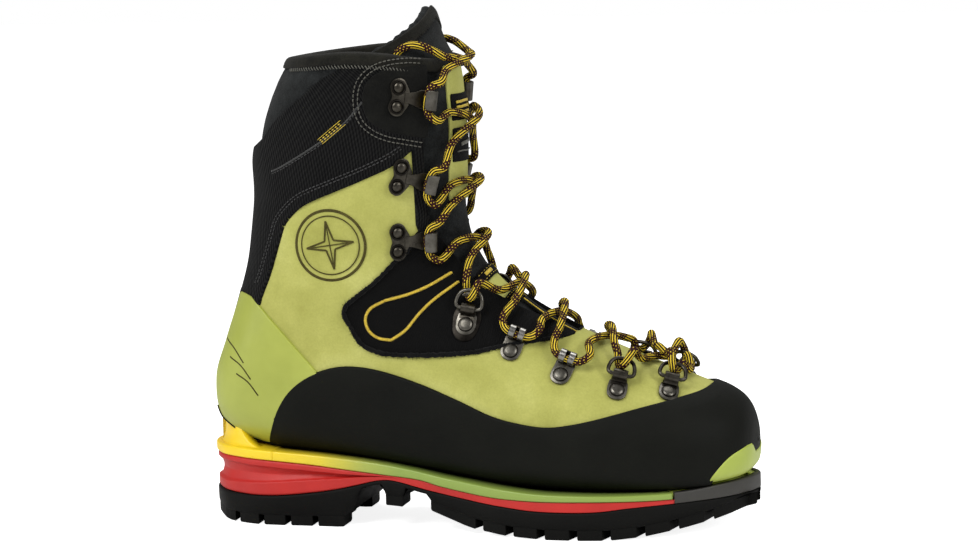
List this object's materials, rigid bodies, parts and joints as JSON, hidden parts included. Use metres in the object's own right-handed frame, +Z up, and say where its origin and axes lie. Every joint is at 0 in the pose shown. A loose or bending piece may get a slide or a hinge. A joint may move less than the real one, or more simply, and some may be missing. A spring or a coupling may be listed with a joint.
{
  "type": "mountaineering boot",
  "caption": "Right-foot crampon-compatible mountaineering boot: stiff sole unit, nubuck upper with rubber rand, flex ankle, padded collar, hooks, rings and a braided lace.",
  "frame": {"origin": "on the ground, under the middle of the length and width of the boot", "axes": "+X to the toe, +Y to the inner (medial) side of the right foot, +Z up"},
  "size_m": [0.3125, 0.107, 0.2876],
  "materials": {
    "nubuck": "yellow-green suede-like nubuck leather",
    "black_fabric": "black woven and stretch fabric",
    "lining": "dark grey felt-like padding",
    "rand_rubber": "matte charcoal rubber",
    "tread_rubber": "matte black rubber",
    "lime_polymer": "satin lime-green polymer",
    "yellow_polymer": "satin yellow polymer",
    "grey_polymer": "satin dark grey polymer",
    "red_foam": "satin red midsole foam",
    "gunmetal": "dark nickel-plated steel",
    "lace": "braided cord, yellow with dark stripes",
    "board": "stiff fibre board"
  },
  "bodies": {
    "foot": {"welt": "lime_polymer", "heel_crampon_ledge": "yellow_polymer", "toe_crampon_insert": "grey_polymer", "midsole": "red_foam", "outsole": "tread_rubber", "insole_board": "board", "footbed": "lining", "foot_lining": "lining", "foot_leather": "nubuck", "achilles_flex_panel": "black_fabric", "rubber_rand": "rand_rubber", "toe_bumper": "lime_polymer", "heel_back_strip": "rand_rubber", "tongue_instep": "black_fabric", "lace_foot": "lace", "ankle_flex_panel_outer": "black_fabric", "heel_counter_outer": "lime_polymer", "lace_ankle_outer": "lace", "loop_upper_outer": "gunmetal", "loop_lower_outer": "gunmetal", "lock_mount_outer": "gunmetal", "ring_upper_mount_outer": "gunmetal", "ring_lower_mount_outer": "gunmetal", "ankle_flex_panel_inner": "black_fabric", "heel_counter_inner": "lime_polymer", "lace_ankle_inner": "lace", "loop_upper_inner": "gunmetal", "loop_lower_inner": "gunmetal", "lock_mount_inner": "gunmetal", "ring_upper_mount_inner": "gunmetal", "ring_lower_mount_inner": "gunmetal"},
    "shaft": {"shaft_fabric": "black_fabric", "collar_lining": "lining", "collar_binding": "black_fabric", "tongue_upper": "black_fabric", "tongue_cover": "nubuck", "tongue_label_upper": "black_fabric", "tongue_label_lower": "black_fabric", "shaft_leather_outer": "nubuck", "cuff_tab_outer": "black_fabric", "lace_shaft_outer": "lace", "hook_lower_outer": "gunmetal", "hook_middle_outer": "gunmetal", "hook_upper_outer": "gunmetal", "shaft_leather_inner": "nubuck", "cuff_tab_inner": "black_fabric", "lace_shaft_inner": "lace", "hook_lower_inner": "gunmetal", "hook_middle_inner": "gunmetal", "hook_upper_inner": "gunmetal"},
    "lock_ring_outer": {"lock_bow_outer": "gunmetal"},
    "lock_ring_inner": {"lock_bow_inner": "gunmetal"},
    "upper_toe_ring_outer": {"ring_upper_bow_outer": "gunmetal"},
    "upper_toe_ring_inner": {"ring_upper_bow_inner": "gunmetal"},
    "lower_toe_ring_outer": {"ring_lower_bow_outer": "gunmetal"},
    "lower_toe_ring_inner": {"ring_lower_bow_inner": "gunmetal"}
  },
  "joints": [
    {"name": "ankle_flex", "type": "hinge", "parent": "foot", "child": "shaft", "pos_m": [-0.0762, 0.001, 0.122], "axis": [0, 1, 0], "range_deg": [-4, 10], "stiffness_Nm_per_rad": 20, "deforming": ["ankle_flex_panel_outer", "ankle_flex_panel_inner", "achilles_flex_panel", "tongue_instep", "lace_ankle_outer", "lace_ankle_inner"]},
    {"name": "lock_ring_outer_swing", "type": "hinge", "parent": "foot", "child": "lock_ring_outer", "pos_m": [0.00338, -0.03411, 0.12427], "axis": [-0.9817, -0.093, 0.1662], "range_deg": [-4, 4]},
    {"name": "lock_ring_inner_swing", "type": "hinge", "parent": "foot", "child": "lock_ring_inner", "pos_m": [0.0038, 0.03372, 0.12418], "axis": [0.9639, -0.1759, -0.1997], "range_deg": [-4, 4]},
    {"name": "upper_toe_ring_outer_swing", "type": "hinge", "parent": "foot", "child": "upper_toe_ring_outer", "pos_m": [0.08742, -0.03188, 0.08863], "axis": [-0.9558, -0.1693, 0.2406], "range_deg": [-4, 4]},
    {"name": "upper_toe_ring_inner_swing", "type": "hinge", "parent": "foot", "child": "upper_toe_ring_inner", "pos_m": [0.08688, 0.03494, 0.0889], "axis": [0.981, -0.1171, -0.1546], "range_deg": [-4, 4]},
    {"name": "lower_toe_ring_outer_swing", "type": "hinge", "parent": "foot", "child": "lower_toe_ring_outer", "pos_m": [0.11338, -0.01964, 0.08538], "axis": [-0.9432, -0.1959, 0.2682], "range_deg": [-4, 4]},
    {"name": "lower_toe_ring_inner_swing", "type": "hinge", "parent": "foot", "child": "lower_toe_ring_inner", "pos_m": [0.11285, 0.02722, 0.0858], "axis": [0.9691, -0.1772, -0.1714], "range_deg": [-4, 4]}
  ]
}
